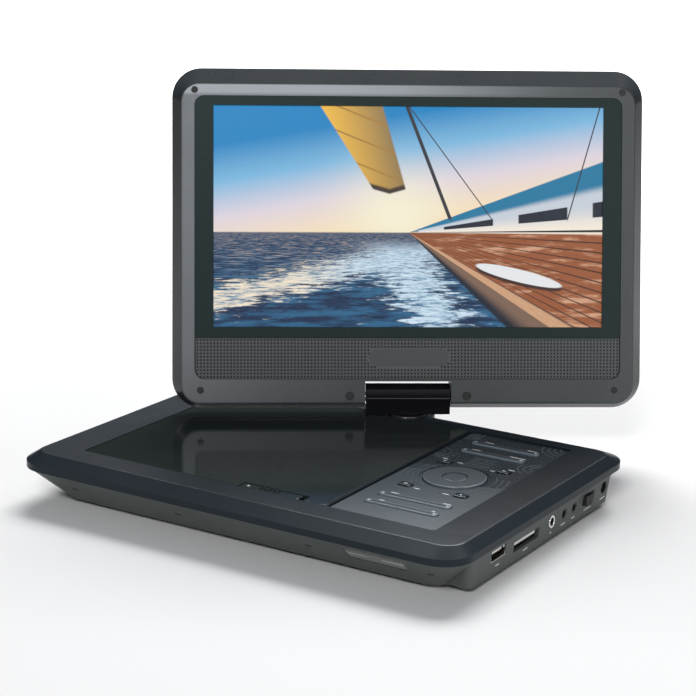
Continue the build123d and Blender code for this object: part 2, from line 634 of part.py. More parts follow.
def hinge_bracket():
    low = TOP_Z + 0.9 - TILT_Z
    bracket = slab(-BLOCK_HW + 1.9, BLOCK_HW - 1.9, -5.1, 5.1, low + 0.2, low + 1.9)
    for side in (-1, 1):
        x = side * 16.2
        ear = slab(x - 2.4, x + 2.4, -4.6, 4.6, low + 1.8, 0) + rod((x - 2.4, 0, 0), 4.8, 4.6, "x")
        bracket += ear - rod((x - 3, 0, 0), 6, PIN_R + FIT, "x")
    bracket -= disc(0, 0, -20, 0, 2.6)
    bracket -= disc(0, 0, low - 1, low + 1.1, SHAFT_R + FIT)
    return bracket


# ---- screen (upright frame: x across, z up, front at -y) ---------------------------------------
def sheet(outline, depth):
    """A rounded rectangle x0, x1, z0, z1, r as a face at one depth towards the viewer."""
    x0, x1, z0, z1, r = outline
    plane = Plane(origin=((x0 + x1) / 2, -depth, (z0 + z1) / 2), x_dir=(1, 0, 0), z_dir=(0, -1, 0))
    return plane * RectangleRounded(x1 - x0, z1 - z0, r)


def plate(outline, back, front):
    """A rounded plate between two depths."""
    return extrude(sheet(outline, back), front - back)


def dished(outline_a, depth_a, outline_b, depth_b):
    return loft([sheet(outline_a, depth_a), sheet(outline_b, depth_b)], ruled=True)


def stud(x, z, back, front, r):
    """A cylinder across the screen's thickness."""
    return Pos(x, -(back + front) / 2, z) * Rot(90, 0, 0) * Cylinder(r, front - back)


def depth_edges(shape, depth):
    """Edges that lie wholly at one depth."""
    found = []
    for edge in shape.edges():
        box = edge.bounding_box()
        if abs(box.min.Y + depth) < 0.01 and abs(box.max.Y + depth) < 0.01:
            found.append(edge)
    return found


HOUSING = (-SCREEN_HW, SCREEN_HW, SCREEN_LO, SCREEN_HI, 15.0)
FRONT = (-SCREEN_HW + 5, SCREEN_HW - 5, SCREEN_LO + 2.5, SCREEN_HI - 8.5, 9.0)
BACK = (-SCREEN_HW + 7, SCREEN_HW - 7, SCREEN_LO + 7.6, SCREEN_HI - 7, 9.0)
PART_HI = 0.2            # the bezel starts here
PART_LO = -0.2           # the back cover ends here
FIELD = (-108.6, 108.6, 9.2, 152.4, 5.0)     # recess for window and grille
GLASS_LO = 30.2
NOTCH_HW = BLOCK_HW + 0.5
NOTCH_HI = BARREL_R + 1.3
CORNERS = [(-108.5, 155.2), (108.5, 155.2), (-105.6, 3.6), (105.6, 3.6)]
HINGE_SPOTS = [(-29.8, 0.6), (29.8, 0.6)]
SPEAKERS = [(-76.0, 19.6), (76.0, 19.6)]
BADGE = (0.3, 20.4, 41.4, 9.2)


def notch_cut(extra=0.0):
    """Room for the hinge block in the bottom edge."""
    return slab(-NOTCH_HW - extra, NOTCH_HW + extra, -30, 30, -30, NOTCH_HI + extra)


def screen_bezel():
    outer = dished(HOUSING, 1.4, FRONT, SCREEN_T)
    outer = fillet(depth_edges(outer, SCREEN_T), 1.4)
    outer += plate(HOUSING, PART_HI, 1.4)
    hollow = dished(inset(HOUSING, WALL), 1.4, inset(FRONT, 1.0), SCREEN_T - 2.0)
    hollow += plate(inset(HOUSING, WALL), PART_HI - 1, 1.4)
    bezel = outer - hollow
    bezel += outer & notch_cut(1.8) & slab(-40, 40, -SCREEN_T, -PART_HI, -30, 30)
    for x, z in CORNERS + HINGE_SPOTS:
        bezel += stud(x, z, PART_HI + 0.2, SCREEN_T - 1.5, 3.0) & outer
    # Stepped seat for the window and the grille, open behind the picture.
    bezel += outer & plate(inset(FIELD, -3.0), SCREEN_T - 3.2, SCREEN_T - 1.9)
    bezel -= notch_cut()
    bezel -= plate(FIELD, SCREEN_T - 1.4, SCREEN_T + 2)
    bezel -= plate((-104, 104, GLASS_LO + 2.5, FIELD[3] - 2.6, 2.0), 0, SCREEN_T + 2)
    for x, z in SPEAKERS:
        bezel -= plate((x - 22, x + 22, z - 6.5, z + 6.5, 6.0), 0, SCREEN_T + 2)
    for x, z in CORNERS:
        bezel -= stud(x, z, 4.0, SCREEN_T + 2, 1.75)
        bezel -= stud(x, z, 0, 10, 1.0)
    for x, z in HINGE_SPOTS:
        bezel -= stud(x, z, 4.0, SCREEN_T + 2, 2.3)
        bezel -= stud(x, z, 0, 10, 1.0)
    return bezel - rod((-28, 0, 0), 56, PIN_R + 0.3, "x")


def screen_back_cover():
    outer = dished(BACK, -SCREEN_T, HOUSING, -2.2)
    outer = fillet(depth_edges(outer, -SCREEN_T), 2.2)
    outer += plate(HOUSING, -2.2, PART_LO)
    hollow = dished(inset(BACK, 1.6), -SCREEN_T + 1.8, inset(HOUSING, WALL), -2.2)
    hollow += plate(inset(HOUSING, WALL), -2.2, PART_LO + 1)
    cover = outer - hollow
    cover += outer & notch_cut(1.8) & slab(-40, 40, -PART_LO, SCREEN_T, -30, 30)
    cover -= notch_cut()
    for x, z in CORNERS + HINGE_SPOTS:
        cover += stud(x, z, -SCREEN_T, PART_LO, 3.4) & outer
        cover -= stud(x, z, -SCREEN_T + 1.6, 2, 0.95)
    # Vents over the driver board.
    for step in range(9):
        x = -24 + 6 * step
        cover -= plate((x - 1, x + 1, 118, 138, 0.95), -10, -5)
    return cover - rod((-28, 0, 0), 56, PIN_R + 0.3, "x")


def screen_window():
    field = plate(inset(FIELD, 0.2), SCREEN_T - 1.4, SCREEN_T - 0.4)
    return field & slab(-SCREEN_HW, SCREEN_HW, -20, 20, GLASS_LO + 0.1, SCREEN_HI)


def speaker_grille():
    field = plate(inset(FIELD, 0.2), SCREEN_T - 1.4, SCREEN_T - 0.4)
    grille = field & slab(-SCREEN_HW, SCREEN_HW, -20, 20, SCREEN_LO, GLASS_LO - 0.1)
    x, z, w, h = BADGE
    return grille - plate((x - w / 2 - 0.1, x + w / 2 + 0.1, z - h / 2 - 0.1, z + h / 2 + 0.1, h / 2), 6.6, 9)


def badge_plate():
    x, z, w, h = BADGE
    badge = plate((x - w / 2, x + w / 2, z - h / 2, z + h / 2, h / 2 - 0.05), 6.6, SCREEN_T - 0.1)
    return fillet(depth_edges(badge, SCREEN_T - 0.1), 0.25)


def lcd_panel():
    low, high = VIEW_MID - VIEW_H / 2, VIEW_MID + VIEW_H / 2
    panel = plate((-VIEW_HW - 4, VIEW_HW + 4, low - 3, high + 3, 1.0), 1.2, 4.2)
    return panel + plate((-VIEW_HW, VIEW_HW, low, high, 0.5), 4.1, 5.6)


def lcd_board():
    board = plate((-60, 60, 60, 112, 1.5), -2.4, -1.0)
    board += slab(-30, -12, 0.9, 1.1, 80, 98)
    board += plate((-34, -14, 78, 98, 1.0), -1.1, 0.2)
    board += plate((20, 44, 84, 96, 1.0), -1.1, 0.6)
    return board


def speakers():
    pair = Part()
    for x, z in SPEAKERS:
        box = plate((x - 24, x + 24, z - 8, z + 8, 3.0), -4.6, 4.2)
        cone = plate((x - 20, x + 20, z - 5.6, z + 5.6, 5.5), 4.1, 5.2)
        pair += box + cone
    return pair


def corner_plugs():
    plugs = Part()
    for x, z in CORNERS:
        plugs += stud(x, z, 5.9, SCREEN_T - 0.1, 1.65)
    return plugs


def hinge_plugs():
    plugs = Part()
    for x, z in HINGE_SPOTS:
        plugs += stud(x, z, 5.9, SCREEN_T - 0.1, 2.2)
    return plugs


def screen_screws():
    screws = Part()
    for x, z in CORNERS + HINGE_SPOTS:
        screws += stud(x, z, 4.1, 5.7, 1.6) + stud(x, z, -4.6, 4.2, 0.9)
    return screws


def tilt_brackets():
    """Friction pins in the hinge block's ears, each on a plate screwed into the screen."""
    brackets = Part()
    for side in (-1, 1):
        pin = rod((13.2, 0, 0), 12.6, PIN_R, "x")
        strap = slab(24.2, 26.0, -2.2, 2.2, -2.2, 9.0)
        strap += slab(24.2, 50.0, -1.4, 0.2, 5.6, 9.0) + slab(34.0, 50.0, -1.4, 0.2, 5.6, 20.0)
        arm = pin + strap
        brackets += arm if side > 0 else mirror(arm, about=Plane.YZ)
    return brackets


# ---- poses and export ---------------------------------------------------------------------------
TURNED = Pos(*SWIVEL, TILT_Z) * Rot(0, 0, TURN)
LEANING = TURNED * Rot(-LEAN, 0, 0)

in_base = {
    "base_bottom_cover": base_bottom_cover, "base_top_cover": base_top_cover,
    "disc_well": disc_well, "control_panel": control_panel, "disc_lid": disc_lid, "lid_hinge_pins": lid_hinge_pins,
    "open_button": open_button, "nav_ring": nav_ring, "ok_key": ok_key, "key_mat": key_mat,
    "key_board": key_board, "main_board": main_board, "usb_socket": usb_socket,
    "card_socket": card_socket, "power_jack": power_jack, "power_switch": power_switch,
    "power_slider": power_slider, "battery_pack": battery_pack,
    "indicator_window": indicator_window, "light_pipes": light_pipes, "rubber_feet": rubber_feet,
    "base_screws": base_screws, "drive_chassis": drive_chassis, "drive_dampers": drive_dampers,
    "guide_rods": guide_rods, "spindle_motor": spindle_motor, "disc_hub": disc_hub,
    "hub_claws": hub_claws, "sled_motor": sled_motor, "lead_screw": lead_screw,
    "pickup_sled": pickup_sled, "pickup_lens": pickup_lens, "swivel_bushing": swivel_bushing,
    "swivel_shaft": swivel_shaft, "swivel_nut": swivel_nut,
}
for node, make in in_base.items():
    save(make(), node)

save(plug_jack(*JACK_PHONE), "headphone_jack")
av_pair = Part()
for jack in JACKS_AV:
    av_pair += plug_jack(*jack)
save(av_pair, "av_jacks")
for node, x, y, length in BARS:
    save(key_bar(x, y, length), node)
for node, x, y in PADS:
    save(key_pad(x, y), node)

save(TURNED * hinge_cover(True), "hinge_cover_front")
save(TURNED * hinge_cover(False), "hinge_cover_rear")
save(TURNED * hinge_bracket(), "hinge_bracket")

in_screen = {
    "screen_bezel": screen_bezel, "screen_back_cover": screen_back_cover,
    "screen_window": screen_window, "speaker_grille": speaker_grille, "badge_plate": badge_plate,
    "lcd_panel": lcd_panel, "lcd_board": lcd_board, "speakers": speakers,
    "corner_plugs": corner_plugs, "hinge_plugs": hinge_plugs, "screen_screws": screen_screws,
    "tilt_brackets": tilt_brackets,
}
for node, make in in_screen.items():
    save(LEANING * make(), node)
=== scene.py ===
"""Looks of the portable disc player: finishes, printed marks, grille, picture, light and camera."""
import json
from math import atan, cos, pi, radians, sin

import bpy
from mathutils import Euler, Matrix, Vector


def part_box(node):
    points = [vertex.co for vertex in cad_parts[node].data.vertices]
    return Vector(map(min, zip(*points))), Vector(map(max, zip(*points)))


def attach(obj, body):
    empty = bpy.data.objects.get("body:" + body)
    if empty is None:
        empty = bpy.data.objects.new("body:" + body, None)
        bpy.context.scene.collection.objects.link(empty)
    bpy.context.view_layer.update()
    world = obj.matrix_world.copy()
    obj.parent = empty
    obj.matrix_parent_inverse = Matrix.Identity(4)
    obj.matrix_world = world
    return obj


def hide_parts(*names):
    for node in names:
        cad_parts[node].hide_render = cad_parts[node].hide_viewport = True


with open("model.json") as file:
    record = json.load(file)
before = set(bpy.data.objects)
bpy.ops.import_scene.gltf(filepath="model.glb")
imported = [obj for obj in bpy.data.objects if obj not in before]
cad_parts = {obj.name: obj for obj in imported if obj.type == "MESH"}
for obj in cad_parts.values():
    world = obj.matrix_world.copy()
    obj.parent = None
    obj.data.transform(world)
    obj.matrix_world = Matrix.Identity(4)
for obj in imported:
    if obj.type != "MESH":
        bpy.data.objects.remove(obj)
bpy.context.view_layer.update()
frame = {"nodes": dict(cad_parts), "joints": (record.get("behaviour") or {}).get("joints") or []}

nodes = frame["nodes"]
joints = {joint["name"]: joint for joint in frame["joints"]}
MM = 0.001

# The screen's upright frame: its origin on the tilt axis, X across, Z up, the viewer at -Y.
TILT_POINT = Vector(joints["screen_tilt"]["pos_m"])
TILT_AXIS = Vector(joints["screen_tilt"]["axis"])
TURN = Vector((1, 0, 0)).angle(TILT_AXIS)
LEAN = radians(joints["screen_tilt"]["range_deg"][1] - 90.0)
SCREEN_TURN = Euler((-LEAN, 0.0, TURN))
SCREEN = Matrix.Translation(TILT_POINT) @ SCREEN_TURN.to_matrix().to_4x4()

KEYS_LOW, KEYS_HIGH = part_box("control_panel")
KEYS_LEFT, KEYS_WIDE = KEYS_LOW.x, KEYS_HIGH.x - KEYS_LOW.x
KEYS_TOP = KEYS_HIGH.z
KEY_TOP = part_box("key_bar_rear")[1].z
RING = (70.2 * MM, 2.4 * MM)             # centre of the ring key
VIEW = (198.0 * MM, 111.7 * MM)          # picture
VIEW_MID = 91.6 * MM
# Depths of flat pieces in the screen's frame, from the tilt axis towards the viewer.
PICTURE_DEPTH, BADGE_DEPTH, GRILLE_DEPTH = 5.75 * MM, 7.08 * MM, 7.5 * MM
BARS = [("bar_rear", 69.4, 54.4, 36.0), ("bar_upper", 69.6, 41.0, 33.6),
        ("bar_lower", 70.6, -35.2, 36.8), ("bar_front", 70.5, -46.9, 36.8)]
BAR_WIDE = 4.2
RING_REACH, OK_REACH = 14.7, 5.5
RING_FACE = (230.0 * MM, 161.1 * MM)     # flat front of the screen frame
RING_MID = 77.45 * MM
RING_ROUND = 9.0 * MM


# ---- shader graph helpers -------------------------------------------------------------------
class Wire:
    """A shader socket that takes Python's arithmetic."""

    def __init__(self, look, socket):
        self.look = look
        self.socket = socket

    def __add__(self, other):
        return self.look.math("ADD", self, other)

    def __sub__(self, other):
        return self.look.math("SUBTRACT", self, other)

    def __rsub__(self, other):
        return self.look.math("SUBTRACT", other, self)

    def __mul__(self, other):
        return self.look.math("MULTIPLY", self, other)

    def __truediv__(self, other):
        return self.look.math("DIVIDE", self, other)

    def __rtruediv__(self, other):
        return self.look.math("DIVIDE", other, self)

    __radd__ = __add__
    __rmul__ = __mul__


class Look:
    """A material being put together, and the piece-wide coordinates that it reads."""

    def __init__(self, name, in_screen=False):
        self.material = bpy.data.materials.new(name)
        self.material.use_nodes = True
        self.tree = self.material.node_tree
        self.shader = self.tree.nodes["Principled BSDF"]
        self.place = self.node("ShaderNodeTexCoord", out="Object")
        if in_screen:
            settings = {"vector_type": "TEXTURE"}
            values = {"Vector": self.place, "Location": TILT_POINT, "Rotation": SCREEN_TURN}
            self.place = self.node("ShaderNodeMapping", settings, values)

    def node(self, kind, settings=None, values=None, out=0):
        made = self.tree.nodes.new(kind)
        for key, value in (settings or {}).items():
            if key == "stops":
                ramp = made.color_ramp
                while len(ramp.elements) < len(value):
                    ramp.elements.new(0.5)
                for element, (position, colour) in zip(ramp.elements, value):
                    element.position = position
                    element.color = (*colour, 1.0)
            else:
                setattr(made, key, value)
        for key, value in (values or {}).items():
            self.plug(made.inputs[key], value)
        return Wire(self, made.outputs[out])

    def plug(self, socket, value):
        if isinstance(value, Wire):
            self.tree.links.new(value.socket, socket)
        else:
            socket.default_value = value

    def math(self, operation, first, second=0.0):
        return self.node("ShaderNodeMath", {"operation": operation}, {0: first, 1: second})

    def larger(self, first, second):
        return self.math("MAXIMUM", first, second)

    def size_of(self, value):
        return self.math("ABSOLUTE", value)

    def length(self, x, y):
        return self.math("SQRT", x * x + y * y)

    def point(self, x, y, z=0.0):
        return self.node("ShaderNodeCombineXYZ", None, {0: x, 1: y, 2: z})

    def smooth(self, value, low, high):
        """0 below low, 1 above high, eased between."""
        settings = {"interpolation_type": "SMOOTHSTEP"}
        values = {"Value": value, "From Min": low, "From Max": high}
        return self.node("ShaderNodeMapRange", settings, values)

    def axes(self):
        split = self.tree.nodes.new("ShaderNodeSeparateXYZ")
        self.plug(split.inputs[0], self.place)
        return [Wire(self, output) for output in split.outputs]

    def noise(self, scale, detail=2.0, rough=0.5, place=None, out="Fac"):
        values = {"Vector": place or self.place, "Scale": scale, "Detail": detail, "Roughness": rough}
        return self.node("ShaderNodeTexNoise", None, values, out)

    def mix(self, factor, first, second):
        values = {"Factor": factor, 6: first, 7: second}
        return self.node("ShaderNodeMix", {"data_type": "RGBA"}, values, 2)

    def stretch(self, scale):
        return self.node("ShaderNodeMapping", None, {"Vector": self.place, "Scale": scale})

    def bump(self, height, strength, distance, normal=None):
        values = {"Height": height, "Strength": strength, "Distance": distance}
        if normal:
            values["Normal"] = normal
        return self.node("ShaderNodeBump", None, values)

    def finish(self, **inputs):
        for key, value in inputs.items():
            socket = self.shader.inputs[key.replace("_", " ")]
            if not isinstance(value, Wire) and hasattr(value, "__len__") and len(value) == 3:
                value = (*value, 1.0)
            self.plug(socket, value)
        return self.material


def rgba(colour, gain=1.0):
    return (*[min(channel * gain, 1.0) for channel in colour], 1.0)


# ---- finishes ---------------------------------------------------------------------------------
def moulded(name, colour, rough, grain=1400.0, depth=0.012, coat=0.0, shine=0.5, in_screen=False):
    """Injection-moulded plastic: a fine etched grain, faint flow clouds and handling marks."""
    look = Look(name, in_screen)
    clouds = look.noise(22.0, 3.0)
    etched = look.noise(grain, 2.0, 0.6)
    rubbed = look.noise(60.0, 4.0, 0.65, look.stretch((1.0, 3.0, 1.0)))
    tint = look.mix(clouds, rgba(colour, 0.86), rgba(colour, 1.16))
    tint = look.mix(look.smooth(etched, 0.45, 0.75) * 0.25, tint, rgba(colour, 1.5))
    roughness = rough + (rubbed - 0.5) * 0.16 + (etched - 0.5) * 0.1
    normal = look.bump(etched, 0.6, depth * MM)
    return look.finish(Base_Color=tint, Roughness=roughness, Normal=normal,
                       Coat_Weight=coat, Coat_Roughness=0.12, Specular_IOR_Level=shine)


def glossy(name, colour, rough=0.06, coat=0.6, in_screen=False):
    """Polished plastic: a clear coat with hair-fine wipe marks and a little dust."""
    look = Look(name, in_screen)
    wipes = look.noise(90.0, 5.0, 0.7, look.stretch((0.25, 6.0, 1.0)))
    dust = look.smooth(look.noise(700.0, 2.0), 0.68, 0.78)
    clouds = look.noise(14.0, 2.0)
    tint = look.mix(clouds, rgba(colour, 0.9), rgba(colour, 1.12))
    tint = look.mix(dust * 0.02, tint, (0.45, 0.46, 0.45, 1.0))
    roughness = rough + look.smooth(wipes, 0.5, 0.8) * 0.05 + dust * 0.08
    normal = look.bump(clouds, 0.05, 0.05 * MM)
    return look.finish(Base_Color=tint, Roughness=roughness, Normal=normal,
                       Coat_Weight=coat, Coat_Roughness=0.03)


def metal(name, colour, rough, along=(1.0, 40.0, 40.0), scale=60.0):
    """Drawn or plated metal, brushed along one axis."""
    look = Look(name)
    brushed = look.noise(scale, 4.0, 0.7, look.stretch(along))
    spots = look.noise(35.0, 3.0)
    tint = look.mix(spots, rgba(colour, 0.8), rgba(colour, 1.1))
    roughness = rough + (brushed - 0.5) * 0.25 + (spots - 0.5) * 0.1
    normal = look.bump(brushed, 0.25, 0.01 * MM)
    return look.finish(Base_Color=tint, Metallic=1.0, Roughness=roughness, Normal=normal)


def key_finish():
    """Keys of semi-gloss plastic, with a painted highlight traced along the edges of the bars, the ring key
    and its middle key.
    """
    look = Look("key_plastic")
    x, y, _ = look.axes()
    # Painted highlight: a pale line along the edges of each bar key, of the ring key and of its middle key.
    painted_edge_highlight = 0.0
    for _, middle_x, middle_y, length in BARS:
        along = look.size_of(x - middle_x * MM) - (length - BAR_WIDE) / 2 * MM
        along = look.larger(along, 0.0)
        across = y - middle_y * MM
        outward = look.length(along, across) * 1000.0 - BAR_WIDE / 2
        painted_bar_edge = look.smooth(outward, -0.75, -0.3) * look.smooth(outward, 0.6, 0.4)
        painted_edge_highlight = look.larger(painted_edge_highlight, painted_bar_edge)
    out_x, out_y = x - RING[0], y - RING[1]
    spread = look.length(out_x, out_y) * 1000.0
    for reach in (RING_REACH, OK_REACH):
        painted_edge_highlight = look.larger(painted_edge_highlight, look.smooth(look.size_of(spread - reach), 0.5, 0.15) * 0.7)
    etched = look.noise(1400.0, 2.0, 0.6)
    clouds = look.noise(22.0, 3.0)
    body = look.mix(clouds, (0.030, 0.041, 0.050, 1.0), (0.044, 0.058, 0.069, 1.0))
    tint = look.mix(painted_edge_highlight, body, (0.15, 0.19, 0.22, 1.0))
    return look.finish(Base_Color=tint, Roughness=0.40 + (etched - 0.5) * 0.12 - painted_edge_highlight * 0.1,
                       Normal=look.bump(etched, 0.6, 0.012 * MM), Coat_Weight=0.1, Coat_Roughness=0.12)


def two_tone(name, front, rear, rough):
    """The key panel: a lighter front and a darker, glossier rear field, parted by an S curve."""
    look = Look(name)
    x, y, _ = look.axes()
    curve = look.math("SINE", (x - KEYS_LEFT) * (2.0 * pi / KEYS_WIDE)) * (4.5 * MM) + 3.0 * MM
    field = look.smooth(y - curve, -0.15 * MM, 0.15 * MM)
    etched = look.noise(1500.0, 2.0, 0.6)
    clouds = look.noise(24.0, 3.0)
    light = look.mix(clouds, rgba(front, 0.88), rgba(front, 1.12))
    dark = look.mix(clouds, rgba(rear, 0.8), rgba(rear, 1.2))
    tint = look.mix(field, light, dark)
    roughness = rough + (etched - 0.5) * 0.12 - field * 0.14
    return look.finish(Base_Color=tint, Roughness=roughness, Normal=look.bump(etched, 0.5, 0.01 * MM),
                       Coat_Weight=0.12, Coat_Roughness=0.15)


def bezel_plastic():
    """Screen frame: a semi-gloss face with painted highlights towards its upper left and along its top
    edge, and a slope round it painted darker as shade and lighter along the top as a painted highlight.
    """
    look = Look("bezel_plastic", in_screen=True)
    x, _, z = look.axes()
    across = look.larger(look.size_of(x) - (RING_FACE[0] / 2 - RING_ROUND), 0.0)
    up = look.larger(look.size_of(z - RING_MID) - (RING_FACE[1] / 2 - RING_ROUND), 0.0)
    outward = look.length(across, up) - RING_ROUND
    face = look.smooth(outward, 0.5 * MM, -0.4 * MM)
    clouds = look.noise(26.0, 4.0, 0.6)
    etched = look.noise(1200.0, 2.0, 0.6)
    # Painted light on the slope round the face: a darker colour than the face as painted shade, made
    # lighter along the top of the frame as a painted highlight.
    upper = look.smooth(z, 0.148, 0.160) * 0.9
    slope = look.mix(clouds, (0.011, 0.013, 0.015, 1.0), (0.019, 0.022, 0.024, 1.0))
    slope = look.mix(upper, slope, (0.040, 0.047, 0.052, 1.0))
    # Painted highlight: the face is made lighter towards its upper left.
    painted_highlight = look.smooth(z * 3.75 - x * 4.2, 0.05, 0.75)
    face_tint = look.mix(clouds, (0.046, 0.054, 0.057, 1.0), (0.060, 0.068, 0.071, 1.0))
    face_tint = look.mix(painted_highlight, face_tint, look.mix(clouds, (0.110, 0.122, 0.132, 1.0), (0.185, 0.200, 0.214, 1.0)))
    # Painted highlight: a pale line along the top edge of the face, over its left and middle.
    painted_top_line = look.smooth(z, 0.1520, 0.1545) * look.smooth(x, 0.09, -0.05)
    face_tint = look.mix(painted_top_line * 0.8, face_tint, (0.36, 0.39, 0.42, 1.0))
    roughness = 0.30 + face * 0.12 + (clouds - 0.5) * 0.16 + (etched - 0.5) * 0.08
    return look.finish(Base_Color=look.mix(face, slope, face_tint), Roughness=roughness,
                       Normal=look.bump(etched, 0.5, 0.01 * MM), Specular_IOR_Level=0.4)


def rubber(name, colour):
    look = Look(name)
    pores = look.noise(2200.0, 2.0, 0.7)
    dust = look.smooth(look.noise(80.0, 4.0), 0.5, 0.8)
    tint = look.mix(dust * 0.35, rgba(colour), rgba(colour, 2.6))
    normal = look.bump(pores, 0.5, 0.02 * MM)
    return look.finish(Base_Color=tint, Roughness=0.8 + dust * 0.1, Normal=normal)


def circuit(name):
    """Green solder mask with copper tracks and pads showing through."""
    look = Look(name)
    x, y, _ = look.axes()
    lanes = look.math("PINGPONG", x * 420.0 + look.noise(30.0) * 3.0, 0.5)
    cross = look.math("PINGPONG", y * 260.0 + look.noise(24.0) * 3.0, 0.5)
    tracks = look.smooth(lanes, 0.36, 0.4) * look.smooth(look.noise(90.0), 0.45, 0.5)
    tracks = look.larger(tracks, look.smooth(cross, 0.38, 0.42) * 0.8)
    tint = look.mix(tracks, (0.01, 0.1, 0.05, 1.0), (0.05, 0.24, 0.1, 1.0))
    return look.finish(Base_Color=tint, Roughness=0.35 + tracks * 0.1,
                       Normal=look.bump(tracks, 0.3, 0.04 * MM))


def wrapped(name, colour):
    """Shrink film over the battery, with soft wrinkles."""
    look = Look(name)
    folds = look.noise(70.0, 4.0, 0.6, look.stretch((0.4, 2.0, 1.0)))
    tint = look.mix(folds, rgba(colour, 0.8), rgba(colour, 1.25))
    return look.finish(Base_Color=tint, Roughness=0.25 + folds * 0.1,
                       Normal=look.bump(folds, 0.5, 0.3 * MM))


def lens_glass(name):
    look = Look(name)
    coating = look.noise(500.0, 1.0)
    tint = look.mix(coating, (0.10, 0.16, 0.5, 1.0), (0.3, 0.2, 0.6, 1.0))
    return look.finish(Base_Color=tint, Roughness=0.04, Coat_Weight=1.0)


def window_glass():
    """Screen window: smoked and printed dark at the border, clear over the picture."""
    look = Look("screen_window", in_screen=True)
    x, _, z = look.axes()
    across = look.smooth(look.size_of(x), VIEW[0] / 2 - 0.2 * MM, VIEW[0] / 2 + 0.3 * MM)
    up = look.size_of(z - VIEW_MID)
    up = look.smooth(up, VIEW[1] / 2 - 0.2 * MM, VIEW[1] / 2 + 0.3 * MM)
    border = look.larger(across, up)
    clouds = look.noise(9.0, 2.0)
    tint = look.mix(clouds, (0.020, 0.031, 0.031, 1.0), (0.030, 0.043, 0.042, 1.0))
    dust = look.smooth(look.noise(800.0, 2.0), 0.7, 0.8)
    tint = look.mix(dust * 0.02, tint, (0.4, 0.42, 0.42, 1.0))
    look.material.surface_render_method = "BLENDED"
    return look.finish(Base_Color=tint, Roughness=0.16 + dust * 0.2, Alpha=0.04 + border * 0.96,
                       Coat_Weight=0.25, Coat_Roughness=0.05)


